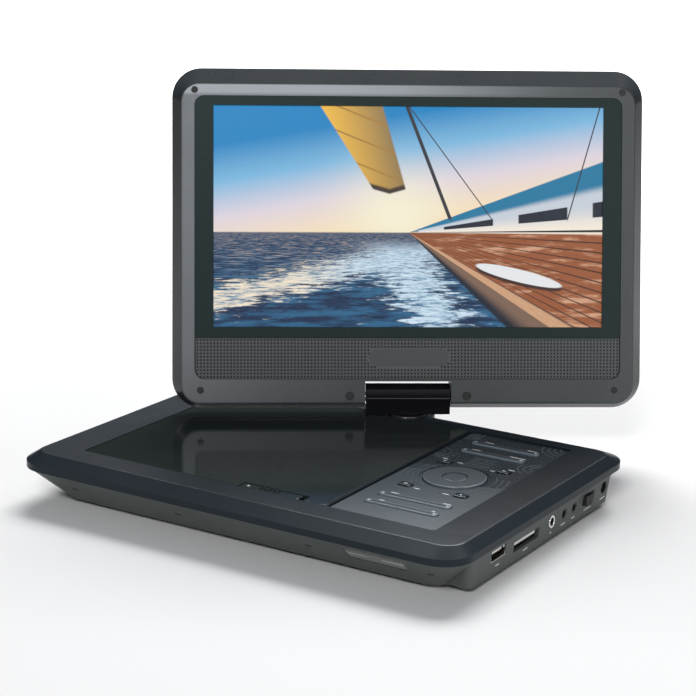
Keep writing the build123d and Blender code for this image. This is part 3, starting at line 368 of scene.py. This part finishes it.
def picture():
    """A made-up view: the sea at sundown from a sailing boat's side deck."""
    look = Look("picture", in_screen=True)
    x, _, z = look.axes()
    u = x / VIEW[0] + 0.5
    v = (z - VIEW_MID) / VIEW[1] + 0.5
    horizon, far = 0.43, 0.50              # height of the horizon, and where lines meet on it
    # Sky: blue at the upper left, lilac, then gold at the horizon.
    height = v + (0.5 - u) * 0.30
    stops = [(0.42, (1.0, 0.62, 0.26)), (0.50, (1.0, 0.80, 0.55)), (0.64, (0.80, 0.72, 0.80)),
             (0.80, (0.22, 0.52, 0.80)), (0.97, (0.0, 0.24, 0.58))]
    sky = look.node("ShaderNodeValToRGB", {"stops": stops}, {"Fac": height})
    glow_x, glow_y = (u - 0.47) * 1.5, v - 0.50
    glow = look.math("EXPONENT", (glow_x * glow_x + glow_y * glow_y) * -26.0)
    sky = look.mix(glow, sky, (1.0, 0.95, 0.72, 1.0))
    # Sea: swells that shrink towards the horizon, with foam in the foreground.
    nearness = 1.0 / (horizon + 0.03 - look.math("MINIMUM", v, horizon))
    point = look.point((u - far) * nearness * 0.9 + 4.0, nearness * 1.3, 0.3)
    swell = look.noise(4.2, 6.0, 0.62, point)
    spray = look.noise(8.0, 8.0, 0.75, point)
    drop = horizon - v
    sea = look.mix(look.smooth(swell, 0.40, 0.62), (0.002, 0.020, 0.075, 1.0), (0.02, 0.13, 0.27, 1.0))
    glint = look.smooth(swell, 0.52, 0.64) * look.smooth(drop, 0.24, 0.0)
    sea = look.mix(glint * 0.7, sea, (0.95, 0.62, 0.36, 1.0))
    crest = look.size_of(drop - 0.10 - (far - u) * 0.42 - (swell - 0.5) * 0.2)
    wash = look.size_of(u - 0.44 - drop * 0.35 - (swell - 0.5) * 0.3)
    wake = look.larger(look.smooth(crest, 0.11, 0.0), look.smooth(wash, 0.15, 0.0))
    foam = look.smooth(spray + wake * 0.28, 0.60, 0.74) * look.smooth(drop, 0.02, 0.10)
    white = look.mix(look.smooth(u, 0.18, 0.42), (1.0, 0.86, 0.66, 1.0), (0.72, 0.88, 1.0, 1.0))
    sea = look.mix(foam, sea, look.mix(look.smooth(spray, 0.35, 0.6), (0.16, 0.34, 0.52, 1.0), white))
    scene = look.mix(look.smooth(v, horizon + 0.004, horizon - 0.004), sky, sea)
    # Sail: a gold triangle from the top edge.
    luff = u - (0.27 + (1.0 - v) * 0.36)
    leech = (0.435 + (1.0 - v) * 0.16) - u
    foot = v - (0.60 + look.size_of(u - 0.45) * 0.5)
    cloth = look.smooth(luff, 0.0, 0.006) * look.smooth(leech, 0.0, 0.006) * look.smooth(foot, 0.0, 0.01)
    seams = look.smooth(look.math("PINGPONG", (u * 0.7 + v) * 9.0, 0.5), 0.02, 0.05)
    gold = look.mix(leech * 6.0, (0.30, 0.20, 0.08, 1.0), (1.0, 0.56, 0.06, 1.0))
    gold = look.mix(seams, (0.42, 0.22, 0.04, 1.0), gold)
    gold = look.mix(look.smooth(foot, 0.035, 0.02), gold, (0.05, 0.03, 0.02, 1.0))
    scene = look.mix(cloth, scene, gold)
    # Boat: everything to the right of the rail, fanned out from the vanishing point.
    slope = (v - horizon) / look.larger(u - far, 0.001)
    right = look.smooth(u, far, far + 0.004)
    hull = look.smooth(slope, -1.72, -1.68) * right
    planks = look.smooth(look.math("PINGPONG", slope * 11.0, 0.5), 0.03, 0.1)
    grain = look.noise(26.0, 4.0, 0.6, look.point(u * 2.0, slope * 6.0))
    wood = look.mix(grain, (0.16, 0.035, 0.012, 1.0), (0.50, 0.16, 0.05, 1.0))
    wet = look.smooth(look.noise(3.0, 3.0, 0.6, look.point(u * 3.0, v * 9.0)), 0.5, 0.68)
    wood = look.mix(wet * 0.7, wood, (0.85, 0.50, 0.32, 1.0))
    wood = look.mix(planks, (0.03, 0.01, 0.006, 1.0), wood)
    side = look.mix(look.smooth(slope, -1.62, -1.3), (0.004, 0.010, 0.025, 1.0), (0.22, 0.13, 0.09, 1.0))
    boat = look.mix(look.smooth(slope, -1.02, -0.99), side, wood)
    rail = look.smooth(look.size_of(slope + 1.10), 0.09, 0.07)
    boat = look.mix(rail, boat, look.mix(grain, (0.38, 0.14, 0.05, 1.0), (0.95, 0.62, 0.38, 1.0)))
    for low, colour in ((0.015, (0.05, 0.015, 0.01, 1.0)), (0.0, (0.86, 0.88, 0.90, 1.0))):
        hatch_x, hatch_y = (u - 0.785) * 9.0, (v - 0.235 + low + (u - 0.785) * 0.42) * 34.0
        hatch = look.smooth(hatch_x * hatch_x + hatch_y * hatch_y, 1.1, 0.9)
        boat = look.mix(hatch, boat, colour)
    cabin = look.smooth(slope, -0.02, 0.0)
    shade = look.mix(look.smooth(slope, 0.02, 0.30), (1.0, 0.90, 0.78, 1.0), (0.62, 0.68, 0.76, 1.0))
    shade = look.mix(look.smooth(slope, 0.36, 0.46), shade, (0.01, 0.20, 0.38, 1.0))
    stripe = look.smooth(look.size_of(slope - 0.02), 0.014, 0.008)
    shade = look.mix(stripe, shade, (0.02, 0.02, 0.02, 1.0))
    ports = look.smooth(look.size_of(slope - 0.22), 0.075, 0.065)
    ports = ports * look.smooth(look.math("PINGPONG", u * 5.2 + 0.1, 0.5), 0.16, 0.18)
    shade = look.mix(ports, shade, (0.01, 0.015, 0.03, 1.0))
    boat = look.mix(cabin, boat, shade)
    roof = look.smooth(slope, 0.66, 0.64)
    scene = look.mix(hull * roof, scene, boat)
    # Mast and two stays.
    for foot_u, lean_u, width in ((0.62, -0.22, 0.006), (0.74, -0.42, 0.002), (0.90, 0.16, 0.002)):
        line = look.size_of(u - foot_u - (v - horizon) * lean_u)
        line = look.smooth(line, width, width * 0.6) * look.smooth(v, horizon + 0.05, horizon + 0.07)
        scene = look.mix(line, scene, (0.03, 0.03, 0.04, 1.0))
    return look.finish(Base_Color=(0.0, 0.0, 0.0), Roughness=0.4,
                       Emission_Color=scene, Emission_Strength=0.95)


steel = metal("bright_steel", (0.55, 0.55, 0.56), 0.28)
nickel = metal("nickel_plate", (0.72, 0.71, 0.68), 0.22)
board = circuit("circuit_board")
pad_gloss = glossy("pad_gloss", (0.016, 0.021, 0.026), 0.15)
black_plastic = moulded("black_plastic", (0.018, 0.018, 0.02), 0.45)
hub_plastic = moulded("hub_plastic", (0.05, 0.05, 0.052), 0.4)
black_rubber = rubber("black_rubber", (0.02, 0.02, 0.02))
key_plastic = key_finish()
lid_gloss = glossy("lid_gloss", (0.018, 0.024, 0.023), 0.10, 0.15)
block_gloss = glossy("hinge_gloss", (0.006, 0.006, 0.007), 0.04)

finishes = {
    "base_top_cover": moulded("deck_plastic", (0.012, 0.018, 0.024), 0.34, depth=0.010, shine=0.14),
    "disc_well": moulded("well_plastic", (0.016, 0.020, 0.024), 0.42),
    "base_bottom_cover": moulded("tray_plastic", (0.080, 0.092, 0.088), 0.5, 1100.0, 0.02, shine=0.3),
    "control_panel": two_tone("panel_plastic", (0.028, 0.041, 0.051), (0.018, 0.027, 0.034), 0.40),
    "disc_lid": lid_gloss,
    "open_button": lid_gloss,
    "screen_bezel": bezel_plastic(),
    "screen_back_cover": moulded("back_plastic", (0.018, 0.021, 0.023), 0.46, 1200.0, 0.015,
                                 shine=0.25, in_screen=True),
    "screen_window": window_glass(),
    "speaker_grille": moulded("grille_back", (0.006, 0.007, 0.007), 0.7, in_screen=True),
    "badge_plate": glossy("badge_gloss", (0.075, 0.08, 0.08), 0.15, in_screen=True),
    "lcd_panel": moulded("lcd_frame", (0.02, 0.02, 0.022), 0.3, in_screen=True),
    "indicator_window": glossy("smoked_window", (0.085, 0.093, 0.09), 0.2),
    "light_pipes": glossy("light_pipe", (0.30, 0.32, 0.31), 0.3),
    "battery_pack": wrapped("battery_wrap", (0.03, 0.08, 0.22)),
    "pickup_lens": lens_glass("pickup_lens"),
    "pickup_sled": hub_plastic, "disc_hub": hub_plastic, "hub_claws": black_plastic,
    "speakers": black_plastic, "power_jack": black_plastic, "power_switch": black_plastic,
    "power_slider": black_plastic, "headphone_jack": black_plastic, "av_jacks": black_plastic,
    "key_menu": pad_gloss, "key_setup": pad_gloss, "key_mode": pad_gloss, "key_stop": pad_gloss,
    "rubber_feet": black_rubber, "drive_dampers": black_rubber, "key_mat": black_rubber,
    "corner_plugs": rubber("plug_rubber", (0.022, 0.024, 0.024)),
    "main_board": board, "key_board": board, "lcd_board": board,
    "usb_socket": nickel, "card_socket": nickel, "drive_chassis": nickel, "spindle_motor": nickel,
    "sled_motor": nickel, "swivel_bushing": nickel, "hinge_bracket": nickel,
    "swivel_shaft": metal("collar_steel", (0.16, 0.16, 0.165), 0.3), "swivel_nut": steel,
    "tilt_brackets": steel, "guide_rods": steel, "lead_screw": steel, "base_screws": steel,
    "screen_screws": steel, "lid_hinge_pins": steel,
    "hinge_cover_front": block_gloss, "hinge_cover_rear": block_gloss,
}
finishes["hinge_plugs"] = finishes["corner_plugs"]
for name, node in nodes.items():
    finish = finishes.get(name, key_plastic)
    node.data.materials.clear()
    node.data.materials.append(finish)


# ---- modelling helpers ------------------------------------------------------------------------
def begin(add, **where):
    """Adds a primitive with nothing else selected."""
    bpy.ops.object.select_all(action="DESELECT")
    add(**where)
    return bpy.context.object


def pick_faces(piece, test):
    """In edit mode, selects just the faces that pass a test on centre and normal."""
    bpy.ops.object.mode_set(mode="EDIT")
    bpy.ops.mesh.select_mode(type="FACE")
    bpy.ops.mesh.select_all(action="DESELECT")
    bpy.ops.object.mode_set(mode="OBJECT")
    for face in piece.data.polygons:
        face.select = test(face.center, face.normal)
    bpy.ops.object.mode_set(mode="EDIT")


def pick_edges(piece, test):
    """In edit mode, selects just the edges that pass a test on their two ends."""
    bpy.ops.object.mode_set(mode="EDIT")
    bpy.ops.mesh.select_mode(type="EDGE")
    bpy.ops.mesh.select_all(action="DESELECT")
    bpy.ops.object.mode_set(mode="OBJECT")
    points = piece.data.vertices
    for edge in piece.data.edges:
        first, second = edge.vertices
        edge.select = test(points[first].co, points[second].co)
    bpy.ops.object.mode_set(mode="EDIT")


def sized(piece, size):
    """Gives a primitive its real size."""
    piece.scale = size
    bpy.ops.object.transform_apply(location=False, rotation=False, scale=True)
    return piece


def repeat(piece, places):
    """Copies of a piece at several places, joined to it."""
    bpy.ops.object.mode_set(mode="OBJECT")
    bpy.ops.object.select_all(action="DESELECT")
    for place in places[1:]:
        copy = piece.copy()
        copy.data = piece.data.copy()
        bpy.context.scene.collection.objects.link(copy)
        copy.matrix_world = place
        copy.select_set(True)
    piece.matrix_world = places[0]
    piece.select_set(True)
    bpy.context.view_layer.objects.active = piece
    bpy.ops.object.join()
    return piece


def done(piece, name, body, finish, place=None):
    """Leaves edit mode, puts the place into the mesh, and names, paints and rides the piece."""
    if bpy.context.mode != "OBJECT":
        bpy.ops.object.mode_set(mode="OBJECT")
    matrix = (place or Matrix.Identity(4)) @ piece.matrix_world
    piece.data.transform(matrix)
    piece.matrix_world = Matrix.Identity(4)
    piece.name = name
    piece.data.name = name
    piece.data.materials.clear()
    piece.data.materials.append(finish)
    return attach(piece, body)


def apply_all(piece):
    bpy.ops.object.mode_set(mode="OBJECT")
    bpy.context.view_layer.objects.active = piece
    for modifier in list(piece.modifiers):
        bpy.ops.object.modifier_apply(modifier=modifier.name)


def upright(x, depth, z):
    """A matrix that stands a flat piece (drawn in XY, facing +Z) in the screen's frame."""
    return SCREEN @ Matrix.Translation((x, -depth, z)) @ Matrix.Rotation(pi / 2, 4, "X")


# ---- picture ------------------------------------------------------------------------------------
def display_picture():
    """The lit face of the display, with a thin black margin stepped down round it."""
    piece = begin(bpy.ops.mesh.primitive_plane_add, size=1.0)
    piece.scale = (VIEW[0] + 3 * MM, VIEW[1] + 3 * MM, 1.0)
    bpy.ops.object.transform_apply(scale=True)
    pick_faces(piece, lambda centre, normal: True)
    bpy.ops.mesh.inset(thickness=1.5 * MM)
    bpy.ops.mesh.extrude_region_move(TRANSFORM_OT_translate={"value": (0, 0, 0.2 * MM)})
    return done(piece, "display_picture", "screen", picture(),
                upright(0, PICTURE_DEPTH, VIEW_MID))


display_picture()


# ---- small solid shapes -----------------------------------------------------------------------------
def round_bar(length, width, height, ease):
    """A bar with round ends along X, its upper edge eased."""
    piece = sized(begin(bpy.ops.mesh.primitive_cube_add, size=1.0), (length, width, height))
    pick_edges(piece, lambda a, b: abs(a.z - b.z) > height / 2)
    bpy.ops.mesh.bevel(offset=width * 0.499, segments=6, affect="EDGES")
    pick_edges(piece, lambda a, b: min(a.z, b.z) > height * 0.49)
    bpy.ops.mesh.bevel(offset=ease, segments=2, affect="EDGES")
    return piece


def arrow(reach, height, ease):
    """A flat three-cornered mark that points along +X."""
    piece = begin(bpy.ops.mesh.primitive_cylinder_add, vertices=3, radius=reach, depth=height,
                  rotation=(0, 0, -pi / 2))
    bpy.ops.object.transform_apply(location=False, rotation=True, scale=False)
    pick_edges(piece, lambda a, b: min(a.z, b.z) > height * 0.49)
    bpy.ops.mesh.bevel(offset=ease, segments=2, affect="EDGES")
    return piece


def lying(x, y, z, turn=0.0, size=1.0):
    return Matrix.Translation((x, y, z)) @ Matrix.Rotation(turn, 4, "Z") @ Matrix.Diagonal((size, 1, 1, 1))


# ---- speaker grille -----------------------------------------------------------------------------------
PITCH = 1.7 * MM
GRILLE = (215.9 * MM, 20.4 * MM)          # 127 by 12 cells
GRILLE_MID = 19.75 * MM
BADGE_AT = (0.3 * MM, 20.4 * MM)
BADGE = (41.4 * MM, 9.2 * MM)


def punched_grille(finish):
    """The perforated face of the speaker grille, with a square hole in every cell."""
    piece = begin(bpy.ops.mesh.primitive_grid_add, x_subdivisions=127, y_subdivisions=12, size=1.0)
    sized(piece, (*GRILLE, 1.0))
    badge_x, badge_y = BADGE_AT[0], BADGE_AT[1] - GRILLE_MID
    straight = (BADGE[0] - BADGE[1]) / 2

    def clear_of_badge(centre, normal):
        along = max(abs(centre.x - badge_x) - straight, 0.0)
        return Vector((along, centre.y - badge_y)).length > BADGE[1] / 2 + 0.3 * MM

    pick_faces(piece, clear_of_badge)
    bpy.ops.mesh.inset(thickness=0.34 * MM, use_individual=True)
    bpy.ops.mesh.delete(type="FACE")
    # The two lower corners are rounded off.
    radius = 4.8 * MM
    for side in (-1, 1):
        middle = Vector((side * (GRILLE[0] / 2 - radius), -GRILLE[1] / 2 + radius, 0.0))
        for step in range(1, 6):
            angle = step * pi / 12
            outward = Vector((side * cos(angle), -sin(angle), 0.0))
            bpy.ops.mesh.select_all(action="SELECT")
            bpy.ops.mesh.bisect(plane_co=middle + outward * radius, plane_no=outward, clear_outer=True)
    bpy.ops.object.mode_set(mode="OBJECT")
    wall = piece.modifiers.new("wall", "SOLIDIFY")
    wall.thickness, wall.offset = 0.3 * MM, -1.0
    apply_all(piece)
    return done(piece, "punched_grille", "screen", finish,
                upright(0, GRILLE_DEPTH, GRILLE_MID))


def badge_face(finish):
    """A blank badge: a low pill with a rolled edge."""
    piece = round_bar(*BADGE, 1.0 * MM, 0.35 * MM)
    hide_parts("badge_plate")
    place = upright(BADGE_AT[0], BADGE_DEPTH, BADGE_AT[1])
    return done(piece, "badge_face", "screen", finish, place)


punched_grille(moulded("grille_plastic", (0.068, 0.074, 0.078), 0.45, 1500.0, 0.01, in_screen=True))
badge_face(glossy("badge_gloss", (0.088, 0.096, 0.10), 0.2, in_screen=True))


# ---- relief lines on the key panel ------------------------------------------------------------------
def relief_line(centre, radius, start, end):
    """A low rounded line along an arc, spun from its cross-section."""
    piece = sized(begin(bpy.ops.mesh.primitive_plane_add, size=1.0), (0.7 * MM, 0.24 * MM, 1.0))
    pick_edges(piece, lambda a, b: min(a.y, b.y) > 0)
    bpy.ops.mesh.select_mode(type="VERT")
    bpy.ops.mesh.bevel(offset=0.07 * MM, segments=1, affect="VERTICES")
    bpy.ops.object.mode_set(mode="OBJECT")
    stand = Matrix.Translation((radius, 0, 0)) @ Matrix.Rotation(pi / 2, 4, "X")
    piece.data.transform(Matrix.Rotation(start, 4, "Z") @ stand)
    bpy.ops.object.mode_set(mode="EDIT")
    bpy.ops.mesh.select_all(action="SELECT")
    bpy.ops.mesh.spin(steps=max(4, round(radius * (end - start) / (1.5 * MM))), angle=start - end,
                      center=(0, 0, 0), axis=(0, 0, 1))
    bpy.ops.mesh.select_all(action="SELECT")
    bpy.ops.mesh.remove_doubles(threshold=0.001 * MM)
    bpy.ops.mesh.normals_make_consistent(inside=False)
    bpy.ops.object.mode_set(mode="OBJECT")
    piece.location = (*centre, KEYS_TOP + 0.05 * MM)
    return piece


RIPPLES = [
    ((44.0, 33.0), [(3.5, -85, 85), (6.5, -85, 85), (9.4, -68, 22)]),
    ((96.8, 34.5), [(3.5, 95, 265), (6.5, 95, 265), (9.4, 160, 244)]),
    ((70.2, 2.4), [(19.6, 68, 112), (22.6, 72, 110), (25.6, 74, 106), (28.6, 76, 104), (31.6, 78, 102)]),
    ((70.2, 2.4), [(19.6, 146, 206), (22.4, 152, 204), (25.2, 158, 202)]),
    ((70.2, 2.4), [(19.6, -24, 34), (22.4, -22, 28), (25.2, -20, 24)]),
    ((96.8, 68.4), [(4, 182, 268), (7, 182, 268), (10, 182, 268), (13, 182, 262)]),
    ((44.0, 68.4), [(4, -88, -2), (7, -88, -2), (10, -88, -40)]),
    ((70.2, 2.4), [(19.6, 214, 258)]),
]


def panel_relief(finish):
    lines = []
    for centre, arcs in RIPPLES:
        for radius, start, end in arcs:
            place = [value * MM for value in centre]
            lines.append(relief_line(place, radius * MM, radians(start), radians(end)))
    bpy.ops.object.select_all(action="DESELECT")
    for line in lines:
        line.select_set(True)
    bpy.context.view_layer.objects.active = lines[0]
    bpy.ops.object.join()
    return done(lines[0], "panel_relief", "base", finish)


panel_relief(glossy("relief_gloss", (0.075, 0.095, 0.11), 0.25))


# ---- printed marks ---------------------------------------------------------------------------------------
def white_ink():
    """Pad print: a slightly uneven film of pale ink."""
    look = Look("white_ink")
    patchy = look.noise(900.0, 3.0, 0.7)
    tint = look.mix(patchy, (0.42, 0.45, 0.46, 1.0), (0.78, 0.80, 0.80, 1.0))
    return look.finish(Base_Color=tint, Roughness=0.5 + patchy * 0.1)


ink = white_ink()
INK = 0.06 * MM
DASHES = [(58.5, 58.4, 5.5), (82.0, 58.4, 5.5), (58.5, 45.1, 5.0), (81.0, 45.1, 9.0),
          (58.0, -31.2, 4.5), (85.0, -31.2, 4.5), (58.0, -42.8, 3.0), (84.6, -42.8, 2.0),
          (52.6, 25.0, 3.0), (87.0, 27.0, 3.6), (63.0, -20.4, 3.6), (77.8, -19.6, 3.6),
          (61.6, 23.2, 3.0), (80.0, 21.2, 3.0)]


def panel_marks():
    """Plain dashes beside the keys, in place of their captions."""
    piece = round_bar(1.0 * MM, 0.8 * MM, INK, INK / 3)
    places = [lying(x * MM, y * MM, KEYS_TOP + INK / 2, 0.0, length) for x, y, length in DASHES]
    return done(repeat(piece, places), "panel_marks", "base", ink)


PORT_X = 118.6 * MM
PORT_LEAN = 1.6 / 15.0                    # how far the socket face leans in, per unit of depth
PORT_HIGH = 17.6 * MM
SOCKET_DASHES = [(-43.6, 6.6, 4.0), (-16.4, 5.2, 5.0), (8.8, 5.2, 2.0), (21.4, 5.6, 5.0), (32.0, 5.6, 4.0),
                 (47.4, 5.6, 8.0), (64.0, 5.9, 6.0)]


def on_port_face(y, z, out, length=1.0):
    """Stands a flat piece on the leaning socket face, its X along the face."""
    x = PORT_X - (PORT_HIGH - z * MM) * PORT_LEAN
    stand = Matrix(((0, 0, 1, 0), (1, 0, 0, 0), (0, 1, 0, 0), (0, 0, 0, 1)))
    lean = Matrix.Rotation(atan(PORT_LEAN), 4, "Y")
    return Matrix.Translation((x, y * MM, z * MM)) @ lean @ stand @ Matrix.Translation((0, 0, out)) \
        @ Matrix.Diagonal((length, 1, 1, 1))


def socket_marks():
    piece = round_bar(1.0 * MM, 0.7 * MM, INK, INK / 3)
    places = [on_port_face(y, z, INK / 2, length) for y, z, length in SOCKET_DASHES]
    return done(repeat(piece, places), "socket_marks", "base", ink)


def bar_arrows():
    for body, x, y, length in BARS:
        piece = arrow(0.95 * MM, INK, INK / 3)
        reach = length / 2 - 1.7
        places = [lying((x - reach) * MM, y * MM, KEY_TOP + INK / 2, pi),
                  lying((x + reach) * MM, y * MM, KEY_TOP + INK / 2)]
        done(repeat(piece, places), f"{body}_arrows", body, ink)


def pad_marks():
    """One dot or bar on each small key, and the opening arrow on the lid's button."""
    for body, x, y, length in (("menu", 54.8, 20.4, 1.6), ("setup", 85.2, 22.6, 1.6),
                               ("mode", 56.0, -18.4, 2.0), ("stop", 84.8, -18.2, 1.2)):
        piece = round_bar(length * MM, 0.9 * MM, INK, INK / 3)
        place = lying(x * MM, y * MM, KEY_TOP + INK / 2)
        done(repeat(piece, [place]), f"{body}_mark", body, ink)
    piece = arrow(1.0 * MM, INK, INK / 3)
    button_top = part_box("open_button")[1].z
    place = lying(-1.5 * MM, -62.3 * MM, button_top + INK / 2)
    done(repeat(piece, [place]), "opening_arrow", "release", ink)


panel_marks()
socket_marks()
bar_arrows()
pad_marks()


# ---- bright ring in the headphone jack -----------------------------------------------------------------
JACK_AT = (117.55 * MM, 8.8 * MM, 10.6 * MM)
JACK_RADIUS = 2.5 * MM


def jack_ring(finish):
    piece = sized(begin(bpy.ops.mesh.primitive_plane_add, size=1.0), (0.9 * MM, 1.2 * MM, 1.0))
    pick_faces(piece, lambda centre, normal: True)
    bpy.ops.mesh.select_mode(type="VERT")
    bpy.ops.mesh.select_all(action="SELECT")
    bpy.ops.mesh.bevel(offset=0.2 * MM, segments=2, affect="VERTICES")
    bpy.ops.mesh.select_all(action="SELECT")
    bpy.ops.mesh.delete(type="ONLY_FACE")
    bpy.ops.mesh.select_all(action="SELECT")
    bpy.ops.transform.translate(value=(0, JACK_RADIUS, 0))
    bpy.ops.mesh.spin(steps=36, angle=2 * pi, center=(0, 0, 0), axis=(1, 0, 0))
    bpy.ops.mesh.select_all(action="SELECT")
    bpy.ops.mesh.remove_doubles(threshold=0.001 * MM)
    bpy.ops.mesh.normals_make_consistent(inside=False)
    bpy.ops.object.mode_set(mode="OBJECT")
    bpy.ops.object.shade_smooth_by_angle(angle=radians(40))
    return done(piece, "jack_ring", "base", finish, Matrix.Translation(JACK_AT))


jack_ring(metal("ring_plate", (0.85, 0.85, 0.82), 0.18))

# ---- light, floor and camera ----------------------------------------------------------------------
# Light of the room by height: low, then overhead.
ROOM = [(0.35, (0.03, 0.032, 0.036, 1.0)), (0.95, (0.22, 0.23, 0.25, 1.0))]


def studio_world():
    """A dim room, paler overhead, that the camera itself sees as plain white."""
    world = bpy.data.worlds.new("studio")
    bpy.context.scene.world = world
    world.use_nodes = True
    tree = world.node_tree
    room = tree.nodes["Background"]
    room.inputs["Strength"].default_value = 1.0
    spot = tree.nodes.new("ShaderNodeTexCoord")
    split = tree.nodes.new("ShaderNodeSeparateXYZ")
    ramp = tree.nodes.new("ShaderNodeValToRGB")
    for element, (position, colour) in zip(ramp.color_ramp.elements, ROOM):
        element.position, element.color = position, colour
    white = tree.nodes.new("ShaderNodeBackground")
    white.inputs["Color"].default_value = (1.0, 1.0, 1.0, 1.0)
    seen = tree.nodes.new("ShaderNodeLightPath")
    blend = tree.nodes.new("ShaderNodeMixShader")
    tree.links.new(spot.outputs["Generated"], split.inputs[0])
    tree.links.new(split.outputs["Z"], ramp.inputs["Fac"])
    tree.links.new(ramp.outputs["Color"], room.inputs["Color"])
    tree.links.new(seen.outputs["Is Camera Ray"], blend.inputs["Fac"])
    tree.links.new(room.outputs[0], blend.inputs[1])
    tree.links.new(white.outputs[0], blend.inputs[2])
    tree.links.new(blend.outputs[0], tree.nodes["World Output"].inputs["Surface"])


def pale_floor(reach):
    """A floor plane shifted back by its reach, that stays white in the distance."""
    floor = begin(bpy.ops.mesh.primitive_plane_add, size=14.0, location=(0, reach, 0))
    look = Look("floor")
    across, along, _ = look.axes()
    along = along + reach
    away = look.smooth(across * across + along * along, 0.05, 0.5)
    tint = look.mix(look.noise(3.0), (0.68, 0.68, 0.68, 1.0), (0.70, 0.70, 0.70, 1.0))
    glow = look.mix(away, (0.0, 0.0, 0.0, 1.0), (1.0, 1.0, 1.0, 1.0))
    floor.data.materials.append(look.finish(Base_Color=tint, Roughness=0.8, Emission_Color=glow,
                                            Emission_Strength=1.0))
    floor.name = "floor"


studio_world()
pale_floor(3.0)


def soft_light(name, place, aim, width, height, power):
    light = bpy.data.lights.new(name, "AREA")
    light.shape = "RECTANGLE"
    light.size, light.size_y, light.energy = width, height, power
    lamp = bpy.data.objects.new(name, light)
    bpy.context.scene.collection.objects.link(lamp)
    lamp.location = place
    lamp.rotation_euler = (Vector(aim) - Vector(place)).to_track_quat("-Z", "Y").to_euler()


soft_light("overhead", (-0.5, 1.35, 1.7), (0, 0.3, 0.0), 1.5, 1.0, 66.0)
soft_light("front", (0.70, -1.75, 1.45), (-0.05, 0, 0.15), 0.7, 0.5, 26.0)
soft_light("right", (1.5, -0.5, 0.4), (0.1, 0, 0.05), 0.6, 0.5, 5.0)

CAMERA_AT = Vector((0.4862, -0.76135, 0.32181))
YAW, PITCH, ROLL = radians(31.91), radians(15.19), radians(0.86)
FOCAL = 1969.9 / 696.0 * 36.0
camera_data = bpy.data.cameras.new("camera")
camera_data.lens = FOCAL
camera_data.sensor_width = 36.0
camera = bpy.data.objects.new("camera", camera_data)
bpy.context.scene.collection.objects.link(camera)
aim = Euler((pi / 2 - PITCH, 0.0, YAW)).to_matrix() @ Euler((0.0, 0.0, ROLL)).to_matrix()
camera.matrix_world = Matrix.Translation(CAMERA_AT) @ aim.to_4x4()
bpy.context.scene.camera = camera
bpy.context.scene.view_settings.view_transform = "Standard"
